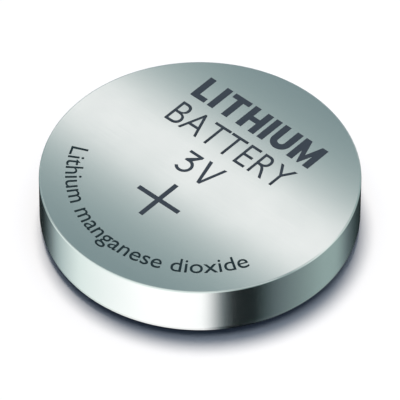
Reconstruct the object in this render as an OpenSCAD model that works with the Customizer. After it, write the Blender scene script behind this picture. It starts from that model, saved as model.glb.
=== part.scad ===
// Lithium coin cell, 24.5 mm across and 5 mm high, in millimetres.
// The origin is the centre of the negative contact face, which the cell stands on, and +Z
// points out of the positive face. Every piece is turned about Z from its half section: a
// drawn steel can is curled at its open end over a moulded gasket, and the gasket grips the
// folded skirt of the negative cap. The lithium disc, the separator and the cathode pellet in
// its ring fill the room between the cap and the can.

/* [Cell] */
// Diameter over the can
cell_d = 24.5; // [22:0.1:28]
// Height from the negative contact face to the positive face
cell_h = 5; // [4.5:0.1:7]

/* [Positive can] */
// Thickness of the can's steel sheet
can_t = 0.25; // [0.2:0.01:0.3]
// Inside radius of the drawn corner round the positive face
can_corner_r = 0.05; // [0.03:0.01:0.3]
// Outside radius of that corner, which is struck sharp after the draw
can_edge_r = 0.12; // [0.08:0.01:0.22]
// Inside radius of the curled rim
crimp_r = 0.55; // [0.5:0.01:0.65]
// Angle that the rim is curled through, where 90 would leave its edge level
crimp_sweep = 120; // [100:1:130]

/* [Negative cap] */
// Thickness of the cap's steel sheet
cap_t = 0.25; // [0.2:0.01:0.3]
// Distance that the contact face stands proud of the can's rim
cap_proud = 0.4; // [0.25:0.01:0.6]
// Inside radius of the drawn corner round the contact face
cap_corner_r = 0.2; // [0.1:0.01:0.35]
// Inside radius of the two bends at the shoulder
shoulder_bend_r = 0.1; // [0.05:0.01:0.15]
// Width of the shoulder's flat, between its bends
shoulder_w = 0.4; // [0.3:0.01:0.8]
// Gap between the two leaves of the folded skirt
hem_gap = 0.05; // [0.02:0.01:0.1]
// Height of the outer leaf's free edge over the shoulder's outer face
hem_lift = 0.5; // [0.4:0.01:0.8]

/* [Sealing gasket] */
// Thickness of the gasket between the can's wall and the skirt
gasket_wall = 0.45; // [0.35:0.01:0.6]
// Thickness of the gasket between the positive face and the skirt's fold
gasket_base = 0.5; // [0.3:0.01:0.8]
// Thickness of the gasket's leg inside the skirt
gasket_leg = 0.35; // [0.25:0.01:0.5]
// Thickness of the gasket between the bottom of the curl and the shoulder
gasket_seat = 0.3; // [0.25:0.01:0.4]
// Width of the gasket that shows inside the edge of the curl
gasket_show = 0.3; // [0.2:0.01:0.38]
// Radius of the gasket's corner that shows
gasket_nose_r = 0.12; // [0.05:0.01:0.16]

/* [Lithium disc and separator] */
// Thickness of the lithium disc
lithium_t = 1.3; // [1.1:0.05:1.6]
// Clearance between the lithium disc and the start of the cap's corner
lithium_gap = 0.95; // [0.1:0.05:1.5]
// Thickness of the separator
separator_t = 0.2; // [0.1:0.01:0.3]
// Clearance between the separator's edge and the skirt
separator_gap = 0.1; // [0.05:0.01:0.2]

/* [Cathode pellet and ring] */
// Clearance between the ring and the gasket's leg
ring_gap = 0.15; // [0.05:0.01:0.3]
// Thickness of the ring's steel sheet
ring_t = 0.15; // [0.1:0.01:0.2]
// Inside radius of the ring's bend
ring_bend_r = 0.1; // [0.05:0.01:0.2]
// Reach of the ring's flange, inwards from the ring's outside
ring_flange = 1.3; // [0.6:0.05:2.5]
// Distance that the ring stops short of the pellet's face
ring_short = 0.3; // [0.2:0.05:1]
// Chamfer round the pellet's face
pellet_chamfer = 0.15; // [0.05:0.01:0.2]

/* [Hidden] */
$fn = 144;
// Largest angle between two rays of a bend's cut
ray_step = 45;

// Can: its inside, and the centres of its corner's two sides and of the curl
can_r = cell_d / 2;
can_in_r = can_r - can_t;
can_in_z = cell_h - can_t;
can_corner = [can_in_r - can_corner_r, can_in_z - can_corner_r];
can_edge = [can_r - can_edge_r, cell_h - can_edge_r];
crimp_out_r = crimp_r + can_t;
crimp = [can_r - crimp_out_r, cap_proud + crimp_out_r];
crimp_edge = crimp + crimp_out_r * [cos(crimp_sweep), -sin(crimp_sweep)];

// Cap, from the skirt inwards: the fold, the shoulder's two bends, the riser and its corner
hem_in_r = hem_gap / 2;
hem_out_r = hem_in_r + cap_t;
skirt_out_r = can_in_r - gasket_wall;
skirt_in_r = skirt_out_r - 2 * hem_out_r;
leaf_out_r = skirt_in_r + cap_t;
hem = [skirt_out_r - hem_out_r, can_in_z - gasket_base - hem_out_r];
shoulder_z = cap_proud + can_t + gasket_seat;
hem_edge_z = shoulder_z + hem_lift;
outer_bend = [skirt_in_r - shoulder_bend_r, shoulder_z + cap_t + shoulder_bend_r];
inner_bend = [outer_bend[0] - shoulder_w, shoulder_z - shoulder_bend_r];
riser_out_r = inner_bend[0] - shoulder_bend_r;
riser_in_r = riser_out_r - cap_t;
cap_corner = [riser_in_r - cap_corner_r, cap_t + cap_corner_r];

// Electrodes: the pellet takes the height that the lithium and the separator leave
lithium_r = cap_corner[0] - lithium_gap;
separator_z = cap_t + lithium_t;
separator_r = skirt_in_r - separator_gap;
pellet_z = separator_z + separator_t;
gasket_in_r = skirt_in_r - gasket_leg;
ring_out_r = gasket_in_r - ring_gap;
pellet_r = ring_out_r - ring_t;
ring_bend = [pellet_r - ring_bend_r, can_in_z - ring_t - ring_bend_r];
flange_in_r = ring_out_r - ring_flange;

// Gasket: its nose stands between the edge of the curl and the riser
nose_r = crimp_edge[0] - gasket_show;
nose_corner = [nose_r + gasket_nose_r, crimp_edge[1] + gasket_nose_r];

// A rectangle of a section, between two radii and two heights
module strip(r_min, r_max, z_min, z_max) {
    translate([r_min, z_min])
        square([r_max - r_min, z_max - z_min]);
}

// A disc of a section, at the centre of a corner or a bend
module disc(centre, radius) {
    translate(centre)
        circle(radius);
}

// A bent sheet of a section: part of a ring, from one angle on through a sweep. The rays
// that cut it out reach twice as far as it does, so the chords between them clear it.
module bend(centre, inside_r, sheet_t, from, sweep) {
    reach = 2 * (inside_r + sheet_t);
    steps = ceil(sweep / ray_step);
    rays = [for (i = [0:steps]) from + i * sweep / steps];
    translate(centre)
        intersection() {
            difference() {
                circle(inside_r + sheet_t);
                circle(inside_r);
            }
            polygon(concat([[0, 0]], [for (a = rays) reach * [cos(a), sin(a)]]));
        }
}

// The can: positive face, straight wall, the corner between them, and the curled rim
module can_section() {
    difference() {
        union() {
            strip(0, can_edge[0], can_in_z, cell_h);
            strip(can_in_r, can_r, crimp[1], can_edge[1]);
            strip(can_corner[0], can_edge[0], can_corner[1], can_edge[1]);
            disc(can_edge, can_edge_r);
        }
        disc(can_corner, can_corner_r);
    }
    bend(crimp, crimp_r, can_t, -crimp_sweep, crimp_sweep);
}

// All the room that the can and its curled rim close round
module can_room() {
    strip(0, can_in_r, crimp[1], can_in_z);
    strip(0, crimp[0], crimp[1] - crimp_r, crimp[1]);
    disc(crimp, crimp_r);
}

// The cap: contact face, corner, riser, shoulder, and the skirt folded back outside itself
module cap_section() {
    strip(0, cap_corner[0], 0, cap_t);
    bend(cap_corner, cap_corner_r, cap_t, -90, 90);
    strip(riser_in_r, riser_out_r, cap_corner[1], inner_bend[1]);
    bend(inner_bend, shoulder_bend_r, cap_t, 90, 90);
    strip(inner_bend[0], outer_bend[0], shoulder_z, shoulder_z + cap_t);
    bend(outer_bend, shoulder_bend_r, cap_t, -90, 90);
    strip(skirt_in_r, leaf_out_r, outer_bend[1], hem[1]);
    bend(hem, hem_in_r, cap_t, 0, 180);
    strip(skirt_out_r - cap_t, skirt_out_r, hem_edge_z, hem[1]);
}

// The gap between the skirt's leaves, which the gasket doesn't fill. It reaches into the
// middle of each leaf, where the cap's own section is cut away anyway.
module hem_room() {
    strip(leaf_out_r - cap_t / 2, skirt_out_r - cap_t / 2, hem_edge_z, hem[1]);
    disc(hem, hem_in_r + cap_t / 2);
}

// What fills the corner outside the shoulder's outer bend
module bend_fill() {
    difference() {
        strip(outer_bend[0], leaf_out_r, shoulder_z, outer_bend[1]);
        disc(outer_bend, shoulder_bend_r + cap_t);
    }
}

// The gasket's nose, with its rounded corner
module nose_section() {
    strip(nose_r, crimp[0], nose_corner[1], shoulder_z);
    strip(nose_corner[0], crimp[0], crimp_edge[1], nose_corner[1]);
    disc(nose_corner, gasket_nose_r);
}

// The gasket: a channel that the skirt stands in, turned in under the shoulder by the curl
module gasket_section() {
    difference() {
        union() {
            intersection() {
                can_room();
                union() {
                    strip(crimp[0], can_r, 0, shoulder_z);
                    strip(leaf_out_r, can_r, shoulder_z, cell_h);
                    strip(gasket_in_r, can_r, pellet_z, cell_h);
                }
            }
            bend_fill();
            nose_section();
        }
        can_section();
        cap_section();
        hem_room();
    }
}

// The ring: a thin wall round the pellet, with a flange across the inside of the can's face
module ring_section() {
    strip(pellet_r, ring_out_r, pellet_z + ring_short, ring_bend[1]);
    bend(ring_bend, ring_bend_r, ring_t, 0, 90);
    strip(flange_in_r, ring_bend[0], can_in_z - ring_t, can_in_z);
}

// The pellet is pressed into its ring, so it meets the inside of the ring all over
module pellet_section() {
    difference() {
        union() {
            strip(0, pellet_r, pellet_z, ring_bend[1]);
            strip(0, ring_bend[0], pellet_z, can_in_z - ring_t);
            strip(0, flange_in_r, pellet_z, can_in_z);
            disc(ring_bend, ring_bend_r);
        }
        translate([pellet_r, pellet_z])
            rotate(45)
                square(sqrt(2) * pellet_chamfer, center = true);
    }
}

module positive_can() {
    color("#b9c4c3")
        rotate_extrude()
            can_section();
}

module sealing_gasket() {
    color("#26292b")
        rotate_extrude()
            gasket_section();
}

module negative_cap() {
    color("#b3bab8")
        rotate_extrude()
            cap_section();
}

module lithium_anode() {
    color("#c9cac6")
        translate([0, 0, cap_t])
            cylinder(h = lithium_t, r = lithium_r);
}

module separator() {
    color("#f1f1ec")
        translate([0, 0, separator_z])
            cylinder(h = separator_t, r = separator_r);
}

module cathode_pellet() {
    color("#1f1f21")
        rotate_extrude()
            pellet_section();
}

module cathode_ring() {
    color("#a9afae")
        rotate_extrude()
            ring_section();
}

positive_can();
sealing_gasket();
negative_cap();
lithium_anode();
separator();
cathode_pellet();
cathode_ring();
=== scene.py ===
"""Lithium coin cell: its seven pieces, the marks printed on its positive face, and the studio.

Every piece is turned about Z from a half section, as the real ones are drawn, moulded or
pressed round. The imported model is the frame: the finely turned pieces stand in the places of
its nodes, in metres, with the origin at the centre of the negative contact face.
"""

import math
from types import SimpleNamespace

import bmesh
import bpy
from mathutils import Matrix, Vector


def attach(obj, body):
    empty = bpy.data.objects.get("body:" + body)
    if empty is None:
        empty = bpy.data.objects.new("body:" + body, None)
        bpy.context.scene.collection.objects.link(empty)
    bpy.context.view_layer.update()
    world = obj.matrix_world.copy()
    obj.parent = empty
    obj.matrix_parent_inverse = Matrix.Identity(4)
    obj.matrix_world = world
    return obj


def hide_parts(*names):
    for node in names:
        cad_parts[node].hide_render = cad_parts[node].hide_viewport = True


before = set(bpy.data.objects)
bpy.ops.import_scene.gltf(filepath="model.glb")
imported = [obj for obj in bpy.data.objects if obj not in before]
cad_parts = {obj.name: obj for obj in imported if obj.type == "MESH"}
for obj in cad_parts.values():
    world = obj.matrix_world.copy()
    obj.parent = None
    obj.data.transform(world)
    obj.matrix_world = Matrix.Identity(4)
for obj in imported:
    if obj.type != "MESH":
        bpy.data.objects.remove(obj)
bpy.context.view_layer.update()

bl_info = {
    "name": "Lithium coin cell",
    "version": (1, 0, 0),
    "blender": (4, 5, 0),
    "location": "3D View > Sidebar > Coin cell",
    "description": "Builds a lithium coin cell, its printed marks and a small studio",
    "category": "Add Mesh",
}

MM = 0.001
MICRON = 0.000001
# Points closer than this are one point
MERGE = 1e-4 * MM
# The same for words before they are fitted, while their type is one metre high
WORD_MERGE = 1e-6
# Steps of a full turn, and the most degrees that one step of a bend takes
TURN_STEPS = 256
BEND_STEP = 6
# Edges that turn more sharply than this, in degrees, are eased
SHARP = 20
BODY = "root"

# Tones of the studio that metal shows
WHITE, PALE, MID, GREY = "#FFFFFF", "#D9E4E1", "#9EAEAE", "#8B9E9C"
DIM, DARK, BLACK = "#576366", "#354142", "#0E1517"
CEILING = "#778B8F"
# The screens round the cell, and the ceiling over them, each as tones at headings in degrees:
# 0 towards the camera, and more to the right of the picture
SCREENS = (
    (-180, BLACK),
    (-151, BLACK),
    (-144, DARK),
    (-136, DIM),
    (-122, MID),
    (-96, PALE),
    (-40, WHITE),
    (3, WHITE),
    (16, DIM),
    (23, BLACK),
    (40, BLACK),
    (47, DARK),
    (57, DIM),
    (100, GREY),
    (117, GREY),
    (132, DIM),
    (145, DARK),
    (165, BLACK),
    (180, BLACK),
)
CEILINGS = (
    (-180, CEILING),
    (-170, MID),
    (-165, PALE),
    (-158, MID),
    (-142, MID),
    (-132, CEILING),
    (-114, GREY),
    (-104, PALE),
    (8, PALE),
    (28, GREY),
    (48, GREY),
    (64, MID),
    (76, PALE),
    (100, PALE),
    (120, GREY),
    (138, GREY),
    (150, MID),
    (162, CEILING),
    (180, CEILING),
)
# Tones of a strip light, from its middle line to its edge
STRIP = ((0, WHITE), (0.175, "#FCFEFD"), (0.36, "#BDC9C9"), (0.58, "#96A8A9"), (1, CEILING))
# Where else the cell is looked at from: azimuth and elevation in degrees
OTHER_SIDES = {"strip_low": (45, 25), "strip_back": (225, 15), "strip_above": (0, 90)}


def linear(hex_colour):
    """An sRGB hex colour as linear red, green, blue and alpha."""
    channels = [int(hex_colour[i : i + 2], 16) / 255 for i in (1, 3, 5)]
    return [c / 12.92 if c <= 0.04045 else ((c + 0.055) / 1.055) ** 2.4 for c in channels] + [1]


def length(name, millimetres, description):
    """A size or a place, given in millimetres."""
    return bpy.props.FloatProperty(
        name=name, description=description, default=millimetres * MM, unit="LENGTH", precision=5
    )


def angle(name, degrees, description):
    """An angle, given in degrees."""
    return bpy.props.FloatProperty(
        name=name, description=description, default=math.radians(degrees), unit="ROTATION"
    )


def factor(name, value, description):
    """A plain number."""
    return bpy.props.FloatProperty(
        name=name, description=description, default=value, subtype="FACTOR", precision=3
    )


def colour(name, hex_colour, description):
    """A colour, given as sRGB hex."""
    return bpy.props.FloatVectorProperty(
        name=name,
        description=description,
        default=linear(hex_colour),
        size=4,
        min=0,
        max=1,
        subtype="COLOR",
    )


class CoinCellSizes(bpy.types.PropertyGroup):
    """Sizes of the cell's pieces."""

    cell_d: length("Diameter", 24.5, "Diameter over the can")
    cell_h: length("Height", 5, "Height from the negative contact face to the positive face")
    can_t: length("Can sheet", 0.25, "Thickness of the can's steel sheet")
    can_corner_r: length("Can corner", 0.05, "Inside radius round the positive face")
    can_edge_r: length("Can edge", 0.12, "Outside radius round the positive face")
    crimp_r: length("Curl radius", 0.55, "Inside radius of the curled rim")
    crimp_sweep: angle("Curl sweep", 120, "Angle that the rim is curled through")
    cap_t: length("Cap sheet", 0.25, "Thickness of the cap's steel sheet")
    cap_proud: length("Cap stand", 0.4, "Height of the contact face over the can's rim")
    cap_corner_r: length("Cap corner", 0.2, "Inside radius round the contact face")
    shoulder_bend_r: length("Shoulder bend", 0.1, "Inside radius of the shoulder's bends")
    shoulder_w: length("Shoulder width", 0.4, "Width of the shoulder's flat")
    hem_gap: length("Hem gap", 0.05, "Gap between the leaves of the folded skirt")
    hem_lift: length("Hem lift", 0.5, "Height of the outer leaf's edge over the shoulder")
    gasket_wall: length("Gasket wall", 0.45, "Thickness between the can and the skirt")
    gasket_base: length("Gasket base", 0.5, "Thickness between the face and the skirt's fold")
    gasket_leg: length("Gasket leg", 0.35, "Thickness inside the skirt")
    gasket_seat: length("Gasket seat", 0.3, "Thickness between the curl and the shoulder")
    gasket_show: length("Gasket nose", 0.3, "Width that shows inside the edge of the curl")
    gasket_nose_r: length("Nose corner", 0.12, "Radius of the gasket's corner that shows")
    lithium_t: length("Lithium", 1.3, "Thickness of the lithium disc")
    lithium_gap: length("Lithium gap", 0.95, "Clearance from the disc to the cap's corner")
    separator_t: length("Separator", 0.2, "Thickness of the separator")
    separator_gap: length("Separator gap", 0.1, "Clearance from the separator to the skirt")
    ring_gap: length("Ring gap", 0.15, "Clearance from the ring to the gasket's leg")
    ring_t: length("Ring sheet", 0.15, "Thickness of the ring's steel sheet")
    ring_bend_r: length("Ring bend", 0.1, "Inside radius of the ring's bend")
    ring_flange: length("Ring flange", 1.3, "Reach of the ring's flange")
    ring_short: length("Ring short", 0.3, "Distance that the ring stops short of the face")
    pellet_chamfer: length("Pellet chamfer", 0.15, "Chamfer round the pellet's face")
    edge_r: length("Edge", 0.02, "Width of the ease on every sharp edge")


class CoinCellMarks(bpy.types.PropertyGroup):
    """Places and sizes of the marks printed on the positive face."""

    print_t: length("Print", 0.008, "Thickness of the print")
    chemistry_x: length("Chemistry X", -6.38, "Left end of the heavy line")
    chemistry_y: length("Chemistry Y", 5.95, "Baseline of the heavy line")
    chemistry_w: length("Chemistry width", 12, "Width of the heavy line")
    chemistry_h: length("Chemistry height", 2.45, "Height of the heavy line's letters")
    stem: length("Stem", 0.58, "Width of the heavy letters' stems")
    bar: length("Bar", 0.5, "Thickness of the heavy letters' bars")
    heavy_l_w: length("Heavy L", 1.4, "Width of the heavy L")
    heavy_t_w: length("Heavy T", 1.7, "Width of the heavy T")
    heavy_h_w: length("Heavy H", 1.85, "Width of the heavy H")
    heavy_u_w: length("Heavy U", 1.8, "Width of the heavy U")
    heavy_m_w: length("Heavy M", 2.2, "Width of the heavy M")
    kind_x: length("Kind X", -6.2, "Left end of the light line")
    kind_y: length("Kind Y", 2.75, "Baseline of the light line")
    kind_w: length("Kind width", 11.6, "Width of the light line")
    kind_h: length("Kind height", 2.35, "Height of the light line's letters")
    kind_weight: factor("Kind weight", -0.008, "Weight added to the light line's plain type")
    voltage_x: length("Voltage X", -2.27, "Left end of the voltage")
    voltage_y: length("Voltage Y", -0.75, "Baseline of the voltage")
    three_w: length("Three", 1.4, "Width of the 3")
    three_h: length("Three height", 2.3, "Height of the 3")
    volts_w: length("Volts", 1.75, "Width of the V")
    volts_h: length("Volts height", 2.392, "Height of the V, a little over that of the 3")
    voltage_gap: length("Voltage gap", 0.42, "Room between the 3 and the V")
    voltage_stroke: length("Voltage stroke", 0.26, "Width of the voltage's strokes")
    plus_x: length("Plus X", -0.61, "Centre of the plus sign, along the lines")
    plus_y: length("Plus Y", -4.03, "Centre of the plus sign, across the lines")
    plus_arm: length("Plus arm", 4.1, "Length of the plus sign's strokes")
    plus_stroke: length("Plus stroke", 0.4, "Width of the plus sign's strokes")
    round_r: length("Round line radius", 10.3, "Radius of the round line's baseline")
    round_h: length("Round line height", 1.4, "Height of the round line's tall letters")
    round_drop: length("Round line drop", 0.4, "Depth of the round line's tails")
    round_weight: factor("Round weight", 0.003, "Weight added to the round line's plain type")
    round_arc: angle("Round line arc", 129, "Angle that the round line takes")
    round_middle: angle("Round line middle", 268.9, "Angle of the round line's middle")


class CoinCellColours(bpy.types.PropertyGroup):
    """Colours of the cell's materials."""

    nickel: colour("Nickel", "#F1F3F2", "Nickel-plated steel, seen straight on")
    nickel_shade: colour("Nickel shade", "#E9ECEB", "Slightly duller patches of the plating")
    gasket: colour("Gasket", "#1B1D1F", "Black polypropylene")
    lithium: colour("Lithium", "#B7B8B3", "Rolled lithium")
    lithium_tarnish: colour("Tarnish", "#8F918E", "Greyed patches of the lithium")
    fleece: colour("Fleece", "#F1F1EC", "Polypropylene fleece")
    fleece_shade: colour("Fleece shade", "#E2E3DD", "Thinner patches of the fleece")
    cathode: colour("Cathode", "#1E1E20", "Manganese dioxide")
    graphite: colour("Graphite", "#4C4D50", "Flakes of graphite in the pellet")
    steel: colour("Steel", "#C6CBCA", "Bare stainless steel")
    ink: colour("Ink", "#353C44", "Slate print of the large marks")
    fine_ink: colour("Fine ink", "#1B292D", "Darker print of the round line")


class CoinCellStudio(bpy.types.PropertyGroup):
    """Camera, lights and what metal mirrors."""

    azimuth: angle("Azimuth", 41.7, "Camera's angle round the cell from the front")
    elevation: angle("Elevation", 45.7, "Camera's angle over the floor")
    roll: angle("Roll", 0.25, "Camera's turn about its own axis")
    distance: length("Distance", 500, "Distance from the camera to the positive face")
    lens: bpy.props.FloatProperty(
        name="Lens",
        description="Focal length in millimetres on a 36 mm sensor",
        default=592.8,
        unit="CAMERA",
    )
    aim_right: length("Aim right", -0.01, "Camera's aim to the right of the face's centre")
    aim_down: length("Aim down", 1.895, "Camera's aim below the face's centre")
    lamp_lean: angle("Lamp lean", 12.4, "Angle that the lamp leans back from straight above")
    lamp_turn: angle("Lamp turn", 16.5, "Angle between the lean and the camera's heading")
    lamp_spread: angle("Lamp spread", 21, "Angle that the lamp covers in the sky")
    lamp_level: factor("Lamp level", 0.78, "Light of the lamp on the floor, where 1 is white")
    lamp_tint: colour("Lamp colour", "#FFF9F2", "Light of the lamp, a little warm")
    skylight_spread: angle("Skylight spread", 56, "Angle that the skylight covers")
    skylight_level: factor("Skylight level", 0.25, "Light of the skylight on the floor")
    skylight_tint: colour("Skylight colour", "#E8F3FF", "Light of the skylight, a little blue")
    shade_tint: colour("Shade", "#435165", "Light that reaches matt surfaces from all round")
    floor_r: length("Floor radius", 2000, "Radius of the white table")
    screen_level: factor("Screen level", 1.2, "Light of screens and ceiling, where 1 is white")
    low_rise: factor("Low rise", -0.68, "Slope of a ray under which metal shows only screens")
    high_rise: factor("High rise", 0.1, "Slope of a ray over which metal shows only ceiling")
    strip_l: length("Strip length", 120, "Length of a strip light")
    strip_w: length("Strip width", 30, "Width of a strip light")
    strip_h: length("Strip height", 45, "Height of the strip lights over the face")
    strip_shift: length("Strip shift", 0.3, "Shift of the strips' light off the face's middle")
    strip_turn: angle("Strip turn", 0.4, "Angle between the strip lights and the printed lines")
    foot_w: length("Foot width", 40, "Width of the card that metal sees round the cell's foot")
    foot_drop: length("Foot drop", 0.01, "Depth of that card under the floor")
    # Painted shadow that metal shows right under the cell: its tone, and where it ends and fades
    under_cell_painted_shadow: colour("Foot", "#262D36", "Tone that metal shows from under the cell")
    dark_reach: length("Dark reach", 0.95, "How far inside the wall the dark under the cell ends")
    dark_fade: length("Dark fade", 0.15, "Width that the dark under the cell fades over")
    foot_reach: length("Foot reach", 0.15, "How far outside the wall the card starts to fade")
    foot_fade: length("Foot fade", 0.4, "Width that the card fades over")


def pieces_plan(s):
    """Radii, heights and bend centres of the whole cell, worked out from its sizes."""
    p = SimpleNamespace()
    p.can_r = s.cell_d / 2
    p.can_in_r, p.can_in_z = p.can_r - s.can_t, s.cell_h - s.can_t
    p.can_corner = (p.can_in_r - s.can_corner_r, p.can_in_z - s.can_corner_r)
    p.can_edge = (p.can_r - s.can_edge_r, s.cell_h - s.can_edge_r)
    out_r = s.crimp_r + s.can_t
    p.crimp = (p.can_r - out_r, s.cap_proud + out_r)
    p.crimp_in = on_arc(p.crimp, s.crimp_r, -s.crimp_sweep)
    p.crimp_out = on_arc(p.crimp, out_r, -s.crimp_sweep)
    p.hem_in_r = s.hem_gap / 2
    p.hem_out_r = p.hem_in_r + s.cap_t
    p.skirt_out_r = p.can_in_r - s.gasket_wall
    p.skirt_in_r = p.skirt_out_r - 2 * p.hem_out_r
    p.leaf_r = p.skirt_in_r + s.cap_t
    p.hem = (p.skirt_out_r - p.hem_out_r, p.can_in_z - s.gasket_base - p.hem_out_r)
    p.shoulder_z = s.cap_proud + s.can_t + s.gasket_seat
    p.hem_edge_z = p.shoulder_z + s.hem_lift
    p.outer_bend = (
        p.skirt_in_r - s.shoulder_bend_r,
        p.shoulder_z + s.cap_t + s.shoulder_bend_r,
    )
    p.inner_bend = (p.outer_bend[0] - s.shoulder_w, p.shoulder_z - s.shoulder_bend_r)
    p.riser_r = p.inner_bend[0] - s.shoulder_bend_r
    p.cap_corner = (p.riser_r - s.cap_t - s.cap_corner_r, s.cap_t + s.cap_corner_r)
    p.lithium_r = p.cap_corner[0] - s.lithium_gap
    p.separator_z = s.cap_t + s.lithium_t
    p.separator_r = p.skirt_in_r - s.separator_gap
    p.pellet_z = p.separator_z + s.separator_t
    p.gasket_in_r = p.skirt_in_r - s.gasket_leg
    p.ring_r = p.gasket_in_r - s.ring_gap
    p.pellet_r = p.ring_r - s.ring_t
    p.ring_bend = (p.pellet_r - s.ring_bend_r, p.can_in_z - s.ring_t - s.ring_bend_r)
    p.flange_r = p.ring_r - s.ring_flange
    p.nose_r = p.crimp_out[0] - s.gasket_show
    return p


def on_arc(centre, radius, turn):
    """The point of an arc at an angle, in a half section."""
    return (centre[0] + radius * math.cos(turn), centre[1] + radius * math.sin(turn))


class Line:
    """A line drawn point by point: a half section in the XZ plane, or an outline in XY."""

    def __init__(self, bm, start, level=False):
        self.bm, self.level = bm, level
        self.first = self.tip = bm.verts.new(self.place(start))

    def place(self, point):
        """A point of the line's plane, in space."""
        return (point[0], point[1], 0) if self.level else (point[0], 0, point[1])

    def to(self, *points):
        """Straight on to each point."""
        for point in points:
            made = bmesh.ops.extrude_vert_indiv(self.bm, verts=[self.tip])
            self.tip = made["verts"][0]
            self.tip.co = self.place(point)
        return self

    def bend(self, centre, degrees):
        """Round a centre, anticlockwise with X to the right and the plane's other axis up."""
        made = bmesh.ops.spin(
            self.bm,
            geom=[self.tip],
            cent=self.place(centre),
            axis=(0, 0, 1) if self.level else (0, -1, 0),
            angle=math.radians(degrees),
            steps=max(2, math.ceil(abs(degrees) / BEND_STEP)),
        )
        self.tip = next(v for v in made["geom_last"] if isinstance(v, bmesh.types.BMVert))
        return self

    def fill(self):
        """Joins the line's ends and fills it."""
        self.bm.edges.new((self.tip, self.first))
        bmesh.ops.edgenet_fill(self.bm, edges=[e for e in self.bm.edges if e.is_wire])


def half_section(r, z):
    """Starts the half section of a turned piece."""
    return Line(bmesh.new(), (r, z))


def ease_edges(bm, width):
    """Rounds every edge that turns sharply."""
    sharp = [e for e in bm.edges if e.is_manifold and e.calc_face_angle() > math.radians(SHARP)]
    bmesh.ops.bevel(
        bm,
        geom=sharp,
        offset=width,
        offset_type="OFFSET",
        segments=3,
        profile=0.5,
        affect="EDGES",
        clamp_overlap=True,
        material=-1,
    )


def turn_piece(name, section, materials, edge_r):
    """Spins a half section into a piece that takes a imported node's place."""
    bm = section.bm
    bmesh.ops.remove_doubles(bm, verts=bm.verts, dist=MERGE)
    bmesh.ops.spin(
        bm,
        geom=bm.verts[:] + bm.edges[:],
        cent=(0, 0, 0),
        axis=(0, 0, 1),
        angle=math.tau,
        steps=TURN_STEPS,
        use_merge=True,
    )
    bmesh.ops.remove_doubles(bm, verts=bm.verts, dist=MERGE)
    bmesh.ops.recalc_face_normals(bm, faces=bm.faces)
    ease_edges(bm, edge_r)
    piece = finish_piece(name, bm, materials)
    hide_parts(name)
    return piece


def finish_piece(name, bm, materials):
    """Makes the mesh an object that rides with the cell, smooth but flat where it is flat."""
    mesh = bpy.data.meshes.new(name)
    for face in bm.faces:
        face.smooth = True
    bm.to_mesh(mesh)
    bm.free()
    # A node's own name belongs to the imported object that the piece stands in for
    piece = bpy.data.objects.new("turned_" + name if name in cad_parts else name, mesh)
    bpy.context.scene.collection.objects.link(piece)
    for material in materials:
        mesh.materials.append(material)
    normals = piece.modifiers.new("Even normals", "WEIGHTED_NORMAL")
    normals.mode = "FACE_AREA"
    normals.weight = 100
    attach(piece, BODY)
    return piece


def add_node(tree, kind, links=(), values=(), **settings):
    """Adds a node, with its settings, the values of its sockets and the links into it."""
    node = tree.nodes.new(kind)
    for key, value in settings.items():
        setattr(node, key, value)
    for socket, value in dict(values).items():
        node.inputs[socket].default_value = value
    for socket, source in dict(links).items():
        tree.links.new(source, node.inputs[socket])
    return node


def set_stops(node, stops, interpolation="EASE"):
    """Sets a colour ramp's stops, each a place from 0 to 1 and a colour."""
    ramp = node.color_ramp
    ramp.interpolation = interpolation
    while len(ramp.elements) > 1:
        ramp.elements.remove(ramp.elements[-1])
    for index, (place, tint) in enumerate(stops):
        element = ramp.elements[0] if index == 0 else ramp.elements.new(place)
        element.position = place
        element.color = tint
    return node


def new_material(name):
    """A material with no nodes yet, and its node tree."""
    material = bpy.data.materials.new(name)
    material.use_nodes = True
    material.node_tree.nodes.clear()
    return material, material.node_tree


def sheet_metal(name, base, shade, roughness, spacing, dent):
    """Metal sheet with the fine lines that rolling or drawing leaves.

    spacing is the lines' size along X, Y and Z in millimetres: long the way that the metal
    ran, and short across. dent is how deep the lines are, in micrometres.
    """
    material, tree = new_material(name)
    place = add_node(tree, "ShaderNodeTexCoord").outputs["Object"]
    run = add_node(
        tree,
        "ShaderNodeMapping",
        links={"Vector": place},
        values={"Scale": [1 / (mm * MM) for mm in spacing]},
    )
    lines = add_node(
        tree,
        "ShaderNodeTexNoise",
        links={"Vector": run.outputs["Vector"]},
        values={"Scale": 1, "Detail": 3, "Roughness": 0.6},
    )
    # Handling leaves patches a few millimetres across that are a little duller
    patches = add_node(
        tree,
        "ShaderNodeTexNoise",
        links={"Vector": place},
        values={"Scale": 1 / (4 * MM), "Detail": 3, "Roughness": 0.5},
    )
    tone = add_node(
        tree,
        "ShaderNodeMix",
        links={"Factor": patches.outputs["Fac"]},
        values={6: base, 7: shade},
        data_type="RGBA",
    )
    spread = add_node(
        tree,
        "ShaderNodeMath",
        links={0: lines.outputs["Fac"], 1: patches.outputs["Fac"]},
        operation="ADD",
    )
    dull = add_node(
        tree,
        "ShaderNodeMapRange",
        links={"Value": spread.outputs["Value"]},
        values={
            "From Min": 0.6,
            "From Max": 1.4,
            "To Min": roughness * 0.85,
            "To Max": roughness * 1.15,
        },
    )
    relief = add_node(
        tree,
        "ShaderNodeBump",
        links={"Height": lines.outputs["Fac"]},
        values={"Strength": 1, "Distance": dent * MICRON},
    )
    shader = add_node(
        tree,
        "ShaderNodeBsdfPrincipled",
        links={
            "Base Color": tone.outputs[2],
            "Roughness": dull.outputs["Result"],
            "Normal": relief.outputs["Normal"],
        },
        values={"Metallic": 1},
    )
    add_node(tree, "ShaderNodeOutputMaterial", links={"Surface": shader.outputs[0]})
    return material


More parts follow.
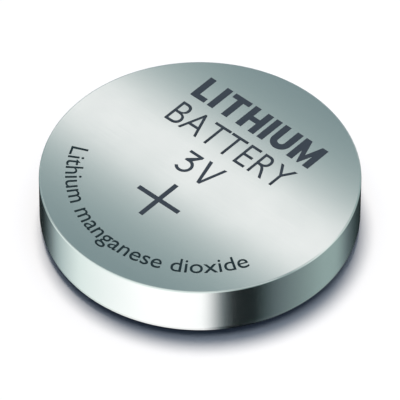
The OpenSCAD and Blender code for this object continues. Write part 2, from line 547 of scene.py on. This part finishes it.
def moulded_polypropylene(base):
    """Polypropylene moulded in a fine-eroded tool: a soft sheen broken by a shallow texture."""
    material, tree = new_material("moulded_polypropylene")
    place = add_node(tree, "ShaderNodeTexCoord").outputs["Object"]
    grain = add_node(
        tree,
        "ShaderNodeTexNoise",
        links={"Vector": place},
        values={"Scale": 1 / (0.05 * MM), "Detail": 2, "Roughness": 0.5},
    )
    dull = add_node(
        tree,
        "ShaderNodeMapRange",
        links={"Value": grain.outputs["Fac"]},
        values={"To Min": 0.38, "To Max": 0.52},
    )
    relief = add_node(
        tree,
        "ShaderNodeBump",
        links={"Height": grain.outputs["Fac"]},
        values={"Strength": 1, "Distance": 3 * MICRON},
    )
    shader = add_node(
        tree,
        "ShaderNodeBsdfPrincipled",
        links={"Roughness": dull.outputs["Result"], "Normal": relief.outputs["Normal"]},
        values={"Base Color": base, "IOR": 1.49},
    )
    add_node(tree, "ShaderNodeOutputMaterial", links={"Surface": shader.outputs[0]})
    return material


def rolled_lithium(base, tarnish):
    """Lithium foil, rolled and cut: soft metal with a dull bloom where it has tarnished."""
    material, tree = new_material("rolled_lithium")
    place = add_node(tree, "ShaderNodeTexCoord").outputs["Object"]
    bloom = add_node(
        tree,
        "ShaderNodeTexNoise",
        links={"Vector": place},
        values={"Scale": 1 / (2.5 * MM), "Detail": 6, "Roughness": 0.6},
    )
    run = add_node(
        tree,
        "ShaderNodeMapping",
        links={"Vector": place},
        values={"Scale": [1 / (mm * MM) for mm in (6, 0.15, 6)]},
    )
    lines = add_node(
        tree,
        "ShaderNodeTexNoise",
        links={"Vector": run.outputs["Vector"]},
        values={"Scale": 1, "Detail": 3},
    )
    tone = add_node(
        tree,
        "ShaderNodeMix",
        links={"Factor": bloom.outputs["Fac"]},
        values={6: base, 7: tarnish},
        data_type="RGBA",
    )
    dull = add_node(
        tree,
        "ShaderNodeMapRange",
        links={"Value": bloom.outputs["Fac"]},
        values={"From Min": 0.3, "From Max": 0.7, "To Min": 0.42, "To Max": 0.65},
    )
    relief = add_node(
        tree,
        "ShaderNodeBump",
        links={"Height": lines.outputs["Fac"]},
        values={"Strength": 1, "Distance": 4 * MICRON},
    )
    shader = add_node(
        tree,
        "ShaderNodeBsdfPrincipled",
        links={
            "Base Color": tone.outputs[2],
            "Roughness": dull.outputs["Result"],
            "Normal": relief.outputs["Normal"],
        },
        values={"Metallic": 1},
    )
    add_node(tree, "ShaderNodeOutputMaterial", links={"Surface": shader.outputs[0]})
    return material


def polypropylene_fleece(base, shade):
    """Non-woven polypropylene: fine fibres laid every way and pressed flat."""
    material, tree = new_material("polypropylene_fleece")
    place = add_node(tree, "ShaderNodeTexCoord").outputs["Object"]
    fibres = add_node(
        tree,
        "ShaderNodeTexVoronoi",
        links={"Vector": place},
        values={"Scale": 1 / (0.25 * MM)},
        feature="DISTANCE_TO_EDGE",
    )
    cloud = add_node(
        tree,
        "ShaderNodeTexNoise",
        links={"Vector": place},
        values={"Scale": 1 / (1.5 * MM), "Detail": 5},
    )
    tone = set_stops(
        add_node(tree, "ShaderNodeValToRGB", links={"Fac": cloud.outputs["Fac"]}),
        [(0.35, base), (0.7, shade)],
    )
    relief = add_node(
        tree,
        "ShaderNodeBump",
        links={"Height": fibres.outputs["Distance"]},
        values={"Strength": 0.7, "Distance": 20 * MICRON},
    )
    shader = add_node(
        tree,
        "ShaderNodeBsdfPrincipled",
        links={"Base Color": tone.outputs["Color"], "Normal": relief.outputs["Normal"]},
        values={"Roughness": 0.9, "Sheen Weight": 0.2, "IOR": 1.49},
    )
    add_node(tree, "ShaderNodeOutputMaterial", links={"Surface": shader.outputs[0]})
    return material


def pressed_cathode(base, flake):
    """Manganese dioxide pressed with graphite: matt black grains with grey flakes between."""
    material, tree = new_material("pressed_cathode")
    place = add_node(tree, "ShaderNodeTexCoord").outputs["Object"]
    grains = add_node(
        tree,
        "ShaderNodeTexVoronoi",
        links={"Vector": place},
        values={"Scale": 1 / (0.12 * MM)},
    )
    flakes = set_stops(
        add_node(tree, "ShaderNodeValToRGB", links={"Fac": grains.outputs["Color"]}),
        [(0.0, base), (0.8, base), (0.95, flake)],
        "LINEAR",
    )
    relief = add_node(
        tree,
        "ShaderNodeBump",
        links={"Height": grains.outputs["Distance"]},
        values={"Strength": 0.8, "Distance": 15 * MICRON},
        invert=True,
    )
    shader = add_node(
        tree,
        "ShaderNodeBsdfPrincipled",
        links={"Base Color": flakes.outputs["Color"], "Normal": relief.outputs["Normal"]},
        values={"Roughness": 0.75, "IOR": 1.6},
    )
    add_node(tree, "ShaderNodeOutputMaterial", links={"Surface": shader.outputs[0]})
    return material


def slate_print(name, base):
    """Ink printed on bare metal: nearly matt, and very slightly uneven in how it covers."""
    material, tree = new_material(name)
    place = add_node(tree, "ShaderNodeTexCoord").outputs["Object"]
    cover = add_node(
        tree,
        "ShaderNodeTexNoise",
        links={"Vector": place},
        values={"Scale": 1 / (0.15 * MM), "Detail": 3},
    )
    tone = add_node(
        tree,
        "ShaderNodeMix",
        links={"Factor": cover.outputs["Fac"]},
        values={6: base, 7: [1.25 * c for c in base[:3]] + [1]},
        data_type="RGBA",
    )
    shader = add_node(
        tree,
        "ShaderNodeBsdfPrincipled",
        links={"Base Color": tone.outputs[2]},
        values={"Roughness": 0.6, "IOR": 1.5, "Specular IOR Level": 0.2},
    )
    add_node(tree, "ShaderNodeOutputMaterial", links={"Surface": shader.outputs[0]})
    return material


class COINCELL_OT_can(bpy.types.Operator):
    """Drawn steel can, with its rim curled in under the cell"""

    bl_idname = "coin_cell.can"
    bl_label = "Positive can"

    def execute(self, context):
        s, tints = context.scene.coin_sizes, context.scene.coin_colours
        p = pieces_plan(s)
        sweep = math.degrees(s.crimp_sweep)
        section = half_section(0, p.can_in_z)
        section.to((p.can_corner[0], p.can_in_z)).bend(p.can_corner, -90)
        section.to((p.can_in_r, p.crimp[1])).bend(p.crimp, -sweep)
        section.to(p.crimp_out).bend(p.crimp, sweep)
        section.to((p.can_r, p.can_edge[1])).bend(p.can_edge, 90)
        section.to((0, s.cell_h))
        # The face keeps the lines that the sheet was rolled with, and the wall has the
        # upright lines of the draw. Both are finer in life, and are drawn to show.
        face = sheet_metal(
            "rolled_nickel_plate",
            tints.nickel,
            tints.nickel_shade,
            roughness=0.12,
            spacing=(5, 0.12, 5),
            dent=0.12,
        )
        wall = sheet_metal(
            "drawn_nickel_plate",
            tints.nickel,
            tints.nickel_shade,
            roughness=0.17,
            spacing=(0.12, 0.12, 4),
            dent=0.1,
        )
        can = turn_piece("positive_can", section, [face, wall], s.edge_r)
        # The face's finish ends about halfway round the corner
        for polygon in can.data.polygons:
            on_face = polygon.center.z > p.can_in_z and polygon.normal.z > 0.7
            polygon.material_index = 0 if on_face else 1
        return {"FINISHED"}


class COINCELL_OT_gasket(bpy.types.Operator):
    """Moulded gasket, which fills the room between the can's curl and the cap's skirt"""

    bl_idname = "coin_cell.gasket"
    bl_label = "Sealing gasket"

    def execute(self, context):
        s, tints = context.scene.coin_sizes, context.scene.coin_colours
        p = pieces_plan(s)
        nose = (p.nose_r + s.gasket_nose_r, p.crimp_out[1] + s.gasket_nose_r)
        section = half_section(p.nose_r, p.shoulder_z)
        section.to((p.nose_r, nose[1])).bend(nose, 90)
        section.to(p.crimp_out, p.crimp_in).bend(p.crimp, math.degrees(s.crimp_sweep))
        section.to((p.can_in_r, p.can_corner[1])).bend(p.can_corner, 90)
        section.to((p.gasket_in_r, p.can_in_z), (p.gasket_in_r, p.pellet_z))
        section.to((p.skirt_in_r, p.pellet_z), (p.skirt_in_r, p.hem[1])).bend(p.hem, -180)
        section.to((p.skirt_out_r, p.hem_edge_z), (p.leaf_r, p.hem_edge_z))
        section.to((p.leaf_r, p.outer_bend[1])).bend(p.outer_bend, -90)
        section.to((p.nose_r, p.shoulder_z))
        turn_piece(
            "sealing_gasket",
            section,
            [moulded_polypropylene(tints.gasket)],
            s.edge_r,
        )
        return {"FINISHED"}


class COINCELL_OT_cap(bpy.types.Operator):
    """Negative cap, with its shoulder and its skirt folded back outside itself"""

    bl_idname = "coin_cell.cap"
    bl_label = "Negative cap"

    def execute(self, context):
        s, tints = context.scene.coin_sizes, context.scene.coin_colours
        p = pieces_plan(s)
        section = half_section(0, 0)
        section.to((p.cap_corner[0], 0)).bend(p.cap_corner, 90)
        section.to((p.riser_r, p.inner_bend[1])).bend(p.inner_bend, -90)
        section.to((p.outer_bend[0], p.shoulder_z)).bend(p.outer_bend, 90)
        section.to((p.leaf_r, p.hem[1])).bend(p.hem, -180)
        section.to((p.skirt_out_r - s.cap_t, p.hem_edge_z), (p.skirt_out_r, p.hem_edge_z))
        section.to((p.skirt_out_r, p.hem[1])).bend(p.hem, 180)
        section.to((p.skirt_in_r, p.outer_bend[1])).bend(p.outer_bend, -90)
        section.to((p.inner_bend[0], p.shoulder_z + s.cap_t)).bend(p.inner_bend, 90)
        section.to((p.riser_r - s.cap_t, p.cap_corner[1])).bend(p.cap_corner, -90)
        section.to((0, s.cap_t))
        plate = sheet_metal(
            "stamped_nickel_plate",
            tints.nickel,
            tints.nickel_shade,
            roughness=0.26,
            spacing=(5, 0.12, 5),
            dent=0.12,
        )
        turn_piece("negative_cap", section, [plate], s.edge_r)
        return {"FINISHED"}


class COINCELL_OT_electrodes(bpy.types.Operator):
    """Lithium disc, separator, cathode pellet and its ring"""

    bl_idname = "coin_cell.electrodes"
    bl_label = "Electrodes and separator"

    def execute(self, context):
        s, tints = context.scene.coin_sizes, context.scene.coin_colours
        p = pieces_plan(s)
        disc = half_section(0, s.cap_t)
        disc.to((p.lithium_r, s.cap_t), (p.lithium_r, p.separator_z), (0, p.separator_z))
        metal = rolled_lithium(tints.lithium, tints.lithium_tarnish)
        turn_piece("lithium_anode", disc, [metal], 2 * s.edge_r)

        sheet = half_section(0, p.separator_z)
        sheet.to((p.separator_r, p.separator_z), (p.separator_r, p.pellet_z), (0, p.pellet_z))
        fleece = polypropylene_fleece(tints.fleece, tints.fleece_shade)
        turn_piece("separator", sheet, [fleece], s.edge_r)

        under_flange = p.can_in_z - s.ring_t
        pellet = half_section(0, p.pellet_z)
        pellet.to((p.pellet_r - s.pellet_chamfer, p.pellet_z))
        pellet.to((p.pellet_r, p.pellet_z + s.pellet_chamfer))
        pellet.to((p.pellet_r, p.ring_bend[1])).bend(p.ring_bend, 90)
        pellet.to((p.flange_r, under_flange), (p.flange_r, p.can_in_z), (0, p.can_in_z))
        cathode = pressed_cathode(tints.cathode, tints.graphite)
        turn_piece("cathode_pellet", pellet, [cathode], s.edge_r)

        ring_z = p.pellet_z + s.ring_short
        ring = half_section(p.pellet_r, ring_z)
        ring.to((p.ring_r, ring_z), (p.ring_r, p.ring_bend[1])).bend(p.ring_bend, 90)
        ring.to((p.flange_r, p.can_in_z), (p.flange_r, under_flange))
        ring.to((p.ring_bend[0], under_flange)).bend(p.ring_bend, -90)
        ring.to((p.pellet_r, ring_z))
        steel = sheet_metal(
            "bare_stainless",
            tints.steel,
            tints.steel,
            roughness=0.3,
            spacing=(3, 3, 0.15),
            dent=0.2,
        )
        turn_piece("cathode_ring", ring, [steel], s.edge_r)
        return {"FINISHED"}


def flat_words(text, weight):
    """The faces of a line of text, as a bmesh in the XY plane.

    weight thickens its strokes, and thins them where it is under 0.
    """
    data = bpy.data.curves.new("words", "FONT")
    data.body = text
    data.offset = weight
    data.resolution_u = 8
    shape = bpy.data.objects.new("words", data)
    bpy.context.scene.collection.objects.link(shape)
    depsgraph = bpy.context.evaluated_depsgraph_get()
    mesh = bpy.data.meshes.new_from_object(shape.evaluated_get(depsgraph))
    bpy.data.objects.remove(shape)
    bm = bmesh.new()
    bm.from_mesh(mesh)
    bmesh.ops.remove_doubles(bm, verts=bm.verts, dist=WORD_MERGE)
    return bm


def fit_words(bm, left, bottom, width, height):
    """Stretches flat words into a rectangle."""
    low = [min(v.co[i] for v in bm.verts) for i in (0, 1)]
    high = [max(v.co[i] for v in bm.verts) for i in (0, 1)]
    bmesh.ops.translate(bm, verts=bm.verts, vec=(-low[0], -low[1], 0))
    stretch = (width / (high[0] - low[0]), height / (high[1] - low[1]), 1)
    bmesh.ops.scale(bm, verts=bm.verts, vec=stretch)
    bmesh.ops.translate(bm, verts=bm.verts, vec=(left, bottom, 0))


def heavy_letter(bm, letter, x, w, h, stem, bar):
    """Draws and fills a heavy capital letter that starts at x, w wide and h high."""
    mid, right, under = w / 2, w - stem, h - bar
    low, high = (h - bar) / 2, (h + bar) / 2
    if letter == "U":
        line = Line(bm, (x, h), level=True).to((x, mid)).bend((x + mid, mid), 180)
        line.to((x + w, h), (x + right, h), (x + right, mid))
        line.bend((x + mid, mid), -180).to((x + stem, h)).fill()
        return
    if letter == "I":
        outline = [(0, 0), (w, 0), (w, h), (0, h)]
    elif letter == "L":
        outline = [(0, 0), (w, 0), (w, bar), (stem, bar), (stem, h), (0, h)]
    elif letter == "T":
        near, far = mid - stem / 2, mid + stem / 2
        outline = [(near, 0), (far, 0), (far, under), (w, under), (w, h)]
        outline += [(0, h), (0, under), (near, under)]
    elif letter == "H":
        outline = [(0, 0), (stem, 0), (stem, low), (right, low), (right, 0), (w, 0)]
        outline += [(w, h), (right, h), (right, high), (stem, high), (stem, h), (0, h)]
    elif letter == "M":
        # The middle strokes meet on a narrow tip
        tip = 0.1 * stem
        outline = [(0, 0), (stem, 0), (stem, h / 2), (mid - tip, 0)]
        outline += [(mid + tip, 0), (right, h / 2), (right, 0), (w, 0)]
        outline += [(w, h), (right, h), (mid, low), (stem, h), (0, h)]
    first, *rest = [(x + across, up) for across, up in outline]
    Line(bm, first, level=True).to(*rest).fill()


def open_three(bm, x, y, w, h, stroke):
    """Draws and fills a 3 with a flat top, a slanting neck and an open bowl."""
    bowl = 0.32 * h
    centre = (x + w - bowl, y + bowl)
    # Angles of the bowl where the neck comes in and where the tail ends, in degrees
    neck, tail = 74, -145
    top, under, inner = y + h, y + h - stroke, y + 2 * bowl - stroke
    right, waist = x + w - 0.3 * stroke, centre[0] - 1.5 * stroke
    line = Line(bm, (x, top), level=True).to((right, top), (right, under + 0.2 * stroke))
    line.to(on_arc(centre, bowl, math.radians(neck))).bend(centre, tail - neck)
    line.to(on_arc(centre, bowl - stroke, math.radians(tail))).bend(centre, 90 - tail)
    line.to((waist, inner), (waist, inner + 0.7 * stroke), (right - 1.35 * stroke, under))
    line.to((x, under)).fill()


def plain_v(bm, x, y, w, h, stroke):
    """Draws and fills a V with a blunt foot and a lighter right arm."""
    left, right, mid, top = 1.2 * stroke, stroke, x + w / 2, y + h
    line = Line(bm, (x, top), level=True).to((mid - left / 2, y), (mid + right / 2, y))
    line.to((x + w, top), (x + w - right, top), (mid, y + 1.5 * stroke), (x + left, top)).fill()


def print_mark(name, bm, z, thickness, material):
    """Gives flat faces the print's thickness, on the positive face."""
    bmesh.ops.translate(bm, verts=bm.verts, vec=(0, 0, z))
    made = bmesh.ops.extrude_face_region(bm, geom=bm.faces[:], use_keep_orig=True)
    raised = [v for v in made["geom"] if isinstance(v, bmesh.types.BMVert)]
    bmesh.ops.translate(bm, verts=raised, vec=(0, 0, thickness))
    bmesh.ops.recalc_face_normals(bm, faces=bm.faces)
    mark = finish_piece(name, bm, [material])
    mark.data.shade_flat()


class COINCELL_OT_marks(bpy.types.Operator):
    """Polarity, voltage and plain words, printed on the positive face"""

    bl_idname = "coin_cell.marks"
    bl_label = "Printed marks"

    def execute(self, context):
        scene = context.scene
        m, z = scene.coin_marks, scene.coin_sizes.cell_h
        ink = slate_print("slate_print", scene.coin_colours.ink)
        fine_ink = slate_print("fine_slate_print", scene.coin_colours.fine_ink)
        for name, bm, material in (
            ("polarity_mark", self.plus(m), ink),
            ("chemistry_words", self.chemistry(m), ink),
            ("kind_words", self.kind(m), ink),
            ("voltage_mark", self.voltage(m), ink),
            ("round_words", self.round_line(m), fine_ink),
        ):
            print_mark(name, bm, z, m.print_t, material)
        return {"FINISHED"}

    def plus(self, m):
        """The plus sign: a quarter of its outline, taken round four times."""
        half, arm = m.plus_stroke / 2, m.plus_arm / 2
        quarter = [(half, half), (half, arm), (-half, arm)]
        bm = bmesh.new()
        outline = []
        for turn in range(4):
            spin = Matrix.Rotation(turn * math.pi / 2, 2)
            for point in quarter:
                outline.append(Vector((m.plus_x, m.plus_y)) + spin @ Vector(point))
        Line(bm, outline[0], level=True).to(*outline[1:]).fill()
        return bm

    def chemistry(self, m):
        """The heavy line, with the room that its letters leave shared out between them."""
        widths = {
            "L": m.heavy_l_w,
            "I": m.stem,
            "T": m.heavy_t_w,
            "H": m.heavy_h_w,
            "U": m.heavy_u_w,
            "M": m.heavy_m_w,
        }
        word = "LITHIUM"
        gap = (m.chemistry_w - sum(widths[letter] for letter in word)) / (len(word) - 1)
        bm = bmesh.new()
        x = m.chemistry_x
        for letter in word:
            heavy_letter(bm, letter, x, widths[letter], m.chemistry_h, m.stem, m.bar)
            x += widths[letter] + gap
        bmesh.ops.translate(bm, verts=bm.verts, vec=(0, m.chemistry_y, 0))
        return bm

    def kind(self, m):
        """The light line."""
        bm = flat_words("BATTERY", m.kind_weight)
        fit_words(bm, m.kind_x, m.kind_y, m.kind_w, m.kind_h)
        return bm

    def voltage(self, m):
        """The voltage: a 3 and a V."""
        bm = bmesh.new()
        open_three(bm, m.voltage_x, m.voltage_y, m.three_w, m.three_h, m.voltage_stroke)
        volts_x = m.voltage_x + m.three_w + m.voltage_gap
        plain_v(bm, volts_x, m.voltage_y, m.volts_w, m.volts_h, m.voltage_stroke)
        return bm

    def round_line(self, m):
        """The round line, bent along its baseline with its feet outwards."""
        bm = flat_words("Lithium manganese dioxide", m.round_weight)
        wide = m.round_arc * m.round_r
        fit_words(bm, -wide / 2, -m.round_drop, wide, m.round_h + m.round_drop)
        for v in bm.verts:
            turn = m.round_middle + v.co.x / m.round_r
            radius = m.round_r - v.co.y
            v.co = (radius * math.cos(turn), radius * math.sin(turn), 0)
        return bm


def straight_from_metal(tree):
    """1 where a ray has touched no matt surface, so that what metal shows lights nothing."""
    ray = add_node(tree, "ShaderNodeLightPath")
    return add_node(
        tree,
        "ShaderNodeMath",
        links={0: ray.outputs["Diffuse Depth"]},
        values={1: 0.5},
        operation="LESS_THAN",
    ).outputs["Value"]


def strip_light(reach):
    """A strip's light, by the distance across Y from its middle line, seen in metal only."""
    material, tree = new_material("strip_light")
    place = add_node(tree, "ShaderNodeTexCoord").outputs["Object"]
    parts = add_node(tree, "ShaderNodeSeparateXYZ", links={"Vector": place})
    across = add_node(
        tree, "ShaderNodeMath", links={0: parts.outputs["Y"]}, operation="ABSOLUTE"
    )
    share = add_node(
        tree,
        "ShaderNodeMapRange",
        links={"Value": across.outputs["Value"]},
        values={"From Max": reach},
    )
    tone = set_stops(
        add_node(tree, "ShaderNodeValToRGB", links={"Fac": share.outputs["Result"]}),
        [(spot, linear(tint)) for spot, tint in STRIP],
        "LINEAR",
    )
    light = add_node(
        tree,
        "ShaderNodeEmission",
        links={"Color": tone.outputs["Color"], "Strength": straight_from_metal(tree)},
    )
    add_node(tree, "ShaderNodeOutputMaterial", links={"Surface": light.outputs[0]})
    material.cycles.emission_sampling = "NONE"
    return material


def round_tones(tree, vector, azimuth, turns, tones):
    """Tones by the heading of a vector, which is 0 towards the camera.

    turns is 1 for a ray, and 2 for a place at the foot of the wall, because the wall mirrors
    what lies at twice that place's heading.
    """
    turned = add_node(
        tree,
        "ShaderNodeMapping",
        links={"Vector": vector},
        values={"Rotation": (0, 0, math.radians(90) - azimuth)},
    )
    parts = add_node(tree, "ShaderNodeSeparateXYZ", links={"Vector": turned.outputs[0]})
    heading = add_node(
        tree,
        "ShaderNodeMath",
        links={0: parts.outputs["Y"], 1: parts.outputs["X"]},
        operation="ARCTAN2",
    )
    share = add_node(
        tree,
        "ShaderNodeMapRange",
        links={"Value": heading.outputs["Value"]},
        values={"From Min": -math.pi / turns, "From Max": math.pi / turns},
    )
    ramp = set_stops(
        add_node(tree, "ShaderNodeValToRGB", links={"Fac": share.outputs["Result"]}),
        [((degrees + 180) / 360, linear(tint)) for degrees, tint in tones],
        "LINEAR",
    )
    return ramp.outputs["Color"]


def stage_piece(name, bm, material):
    """Makes a flat mesh an object of the studio."""
    mesh = bpy.data.meshes.new(name)
    bm.to_mesh(mesh)
    bm.free()
    mesh.materials.append(material)
    shape = bpy.data.objects.new(name, mesh)
    bpy.context.scene.collection.objects.link(shape)
    return shape


def card(name, width, depth, middle, turn, material):
    """A flat card that only reflections show."""
    bm = bmesh.new()
    bmesh.ops.create_grid(bm, x_segments=1, y_segments=1, size=0.5)
    bmesh.ops.scale(bm, verts=bm.verts, vec=(width, depth, 1))
    shape = stage_piece(name, bm, material)
    shape.matrix_world = Matrix.Translation(middle) @ Matrix.Rotation(turn, 4, "Z")
    shape.visible_camera = shape.visible_diffuse = shape.visible_shadow = False
    shape.visible_transmission = False


class COINCELL_OT_studio(bpy.types.Operator):
    """White floor, lights, reflection cards, world and camera"""

    bl_idname = "coin_cell.studio"
    bl_label = "Studio"

    def execute(self, context):
        scene, studio = context.scene, context.scene.coin_studio
        top = Vector((0, 0, context.scene.coin_sizes.cell_h))
        self.floor(studio)
        self.lights(scene, studio)
        self.strips(studio, top)
        self.foot(context.scene.coin_sizes, studio)
        self.world(scene, studio)
        self.camera(scene, studio, top)
        scene.view_settings.view_transform = "Standard"
        return {"FINISHED"}

    def floor(self, studio):
        """A matt white table. Metal sees the screens in its place."""
        material, tree = new_material("white_table")
        shader = add_node(tree, "ShaderNodeBsdfDiffuse", values={"Color": linear(WHITE)})
        add_node(tree, "ShaderNodeOutputMaterial", links={"Surface": shader.outputs[0]})
        bm = bmesh.new()
        bmesh.ops.create_circle(bm, cap_ends=True, segments=96, radius=studio.floor_r)
        floor = stage_piece("floor", bm, material)
        floor.visible_glossy = False

    def lights(self, scene, studio):
        """A soft lamp above and a little behind, so that the cell's shadow falls close round
        its foot and towards the camera, and a broad, weak skylight that softens its edge."""
        lamps = {
            "overhead": (studio.lamp_level, studio.lamp_tint, studio.lamp_lean, studio.lamp_spread),
            "skylight": (studio.skylight_level, studio.skylight_tint, 0, studio.skylight_spread),
        }
        for name, (level, tint, lean, spread) in lamps.items():
            data = bpy.data.lights.new(name, "SUN")
            data.energy = math.pi * level
            data.angle = spread
            data.color = tint[:3]
            lamp = bpy.data.objects.new(name, data)
            scene.collection.objects.link(lamp)
            lamp.rotation_euler = (-lean, 0, studio.azimuth + studio.lamp_turn)
            lamp.visible_glossy = False

    def strips(self, studio, top):
        """Strip lights at one height over the face, one for each side that it is looked at
        from, where the face mirrors it to the middle of that view."""
        front = (math.degrees(studio.azimuth), math.degrees(studio.elevation))
        light = strip_light(studio.strip_w / 2)
        for name, (azimuth, elevation) in {"strip_front": front, **OTHER_SIDES}.items():
            away = studio.strip_h / math.tan(math.radians(elevation))
            heading = math.radians(azimuth)
            x, y = -math.sin(heading) * away, math.cos(heading) * away + studio.strip_shift
            middle = top + Vector((x, y, studio.strip_h))
            card(name, studio.strip_l, studio.strip_w, middle, -studio.strip_turn, light)

    def foot(self, s, studio):
        """A card round the curled rim that only metal sees, in place of the table: a painted
        reflection that carries the screens' tones on under the curl, and a painted shadow right
        under the cell."""
        material, tree = new_material("painted_foot_shadow_and_reflection")
        place = add_node(tree, "ShaderNodeTexCoord").outputs["Object"]
        away = add_node(tree, "ShaderNodeVectorMath", links={0: place}, operation="LENGTH")
        out = away.outputs["Value"]
        wall_r = s.cell_d / 2
        # Painted shadow: the dark tone inside the wall's foot, fading out to the painted screen
        # tones
        under = add_node(
            tree,
            "ShaderNodeMapRange",
            links={"Value": out},
            values={
                "From Min": wall_r - studio.dark_reach,
                "From Max": wall_r - studio.dark_reach + studio.dark_fade,
            },
        )
        # Mixes the painted shadow's tone with a painted reflection of the screens' tones at twice
        # each place's heading
        tone = add_node(
            tree,
            "ShaderNodeMix",
            links={
                0: under.outputs["Result"],
                7: round_tones(tree, place, studio.azimuth, 2, SCREENS),
            },
            values={6: studio.under_cell_painted_shadow},
            data_type="RGBA",
        )
        light = add_node(
            tree,
            "ShaderNodeEmission",
            links={"Color": tone.outputs[2], "Strength": straight_from_metal(tree)},
        )
        clear = add_node(
            tree,
            "ShaderNodeMapRange",
            links={"Value": out},
            values={
                "From Min": wall_r + studio.foot_reach,
                "From Max": wall_r + studio.foot_reach + studio.foot_fade,
            },
            interpolation_type="SMOOTHSTEP",
        )
        nothing = add_node(tree, "ShaderNodeBsdfTransparent")
        mix = add_node(
            tree,
            "ShaderNodeMixShader",
            links={0: clear.outputs["Result"], 1: light.outputs[0], 2: nothing.outputs[0]},
        )
        add_node(tree, "ShaderNodeOutputMaterial", links={"Surface": mix.outputs[0]})
        material.cycles.emission_sampling = "NONE"
        middle = Vector((0, 0, -studio.foot_drop))
        card("painted_foot_shadow_card", studio.foot_w, studio.foot_w, middle, 0, material)

    def world(self, scene, studio):
        """White to the camera, a dim blue-grey to matt surfaces, and in metal a studio of
        white and dark screens, under a ceiling that is pale over the camera and mostly grey
        behind the cell."""
        world = bpy.data.worlds.new("studio")
        scene.world = world
        world.use_nodes = True
        world.cycles.sampling_method = "NONE"
        tree = world.node_tree
        tree.nodes.clear()
        ray = add_node(tree, "ShaderNodeLightPath")
        heading = add_node(tree, "ShaderNodeTexCoord").outputs["Generated"]
        rise = add_node(tree, "ShaderNodeSeparateXYZ", links={"Vector": heading})
        upward = add_node(
            tree,
            "ShaderNodeMapRange",
            links={"Value": rise.outputs["Z"]},
            values={"From Min": studio.low_rise, "From Max": studio.high_rise},
            interpolation_type="SMOOTHSTEP",
        )
        room = add_node(
            tree,
            "ShaderNodeMix",
            links={
                0: upward.outputs["Result"],
                6: round_tones(tree, heading, studio.azimuth, 1, SCREENS),
                7: round_tones(tree, heading, studio.azimuth, 1, CEILINGS),
            },
            data_type="RGBA",
        )
        # The screens are brighter than white, because plated steel swallows some of the light
        level = add_node(
            tree,
            "ShaderNodeMath",
            links={0: straight_from_metal(tree)},
            values={1: studio.screen_level},
            operation="MULTIPLY",
        )
        lit = add_node(
            tree,
            "ShaderNodeVectorMath",
            links={0: room.outputs[2], "Scale": level.outputs["Value"]},
            operation="SCALE",
        )
        metal = add_node(
            tree,
            "ShaderNodeMix",
            links={0: ray.outputs["Is Glossy Ray"], 7: lit.outputs["Vector"]},
            values={6: studio.shade_tint},
            data_type="RGBA",
        )
        plain = add_node(
            tree,
            "ShaderNodeMath",
            links={0: ray.outputs["Is Camera Ray"], 1: ray.outputs["Is Transmission Ray"]},
            operation="MAXIMUM",
        )
        seen = add_node(
            tree,
            "ShaderNodeMix",
            links={0: plain.outputs["Value"], 6: metal.outputs[2]},
            values={7: linear(WHITE)},
            data_type="RGBA",
        )
        sky = add_node(
            tree,
            "ShaderNodeBackground",
            links={"Color": seen.outputs[2]},
            values={"Strength": 1},
        )
        add_node(tree, "ShaderNodeOutputWorld", links={"Surface": sky.outputs[0]})

    def camera(self, scene, studio, top):
        """A long lens at the photograph's angle, turned a little about its own axis."""
        heading, rise = studio.azimuth, studio.elevation
        back = Vector(
            (
                math.sin(heading) * math.cos(rise),
                -math.cos(heading) * math.cos(rise),
                math.sin(rise),
            )
        )
        level = Vector((math.cos(heading), math.sin(heading), 0))
        upright = back.cross(level)
        right = level * math.cos(studio.roll) + upright * math.sin(studio.roll)
        up = upright * math.cos(studio.roll) - level * math.sin(studio.roll)
        data = bpy.data.cameras.new("camera")
        data.lens, data.sensor_width = studio.lens, 36
        data.clip_start, data.clip_end = 10 * MM, 10
        eye = bpy.data.objects.new("camera", data)
        scene.collection.objects.link(eye)
        scene.camera = eye
        place = top + back * studio.distance
        aim = top + right * studio.aim_right - up * studio.aim_down
        back = (place - aim).normalized()
        right = up.cross(back).normalized()
        up = back.cross(right)
        turn = Matrix((right, up, back)).transposed().to_4x4()
        eye.matrix_world = Matrix.Translation(place) @ turn


class COINCELL_PT_panel(bpy.types.Panel):
    """Lists the cell's operators"""

    bl_idname = "COINCELL_PT_panel"
    bl_label = "Coin cell"
    bl_space_type = "VIEW_3D"
    bl_region_type = "UI"
    bl_category = "Coin cell"

    def draw(self, context):
        for operator in OPERATORS:
            self.layout.operator(operator.bl_idname)


OPERATORS = (
    COINCELL_OT_can,
    COINCELL_OT_gasket,
    COINCELL_OT_cap,
    COINCELL_OT_electrodes,
    COINCELL_OT_marks,
    COINCELL_OT_studio,
)
GROUPS = {
    "coin_sizes": CoinCellSizes,
    "coin_marks": CoinCellMarks,
    "coin_colours": CoinCellColours,
    "coin_studio": CoinCellStudio,
}


def register():
    for kind in (*GROUPS.values(), *OPERATORS, COINCELL_PT_panel):
        bpy.utils.register_class(kind)
    for name, group in GROUPS.items():
        setattr(bpy.types.Scene, name, bpy.props.PointerProperty(type=group))


def unregister():
    for name in GROUPS:
        delattr(bpy.types.Scene, name)
    for kind in (COINCELL_PT_panel, *OPERATORS, *GROUPS.values()):
        bpy.utils.unregister_class(kind)


def main():
    register()
    bpy.ops.coin_cell.can()
    bpy.ops.coin_cell.gasket()
    bpy.ops.coin_cell.cap()
    bpy.ops.coin_cell.electrodes()
    bpy.ops.coin_cell.marks()
    bpy.ops.coin_cell.studio()


if __name__ == "__main__":
    main()
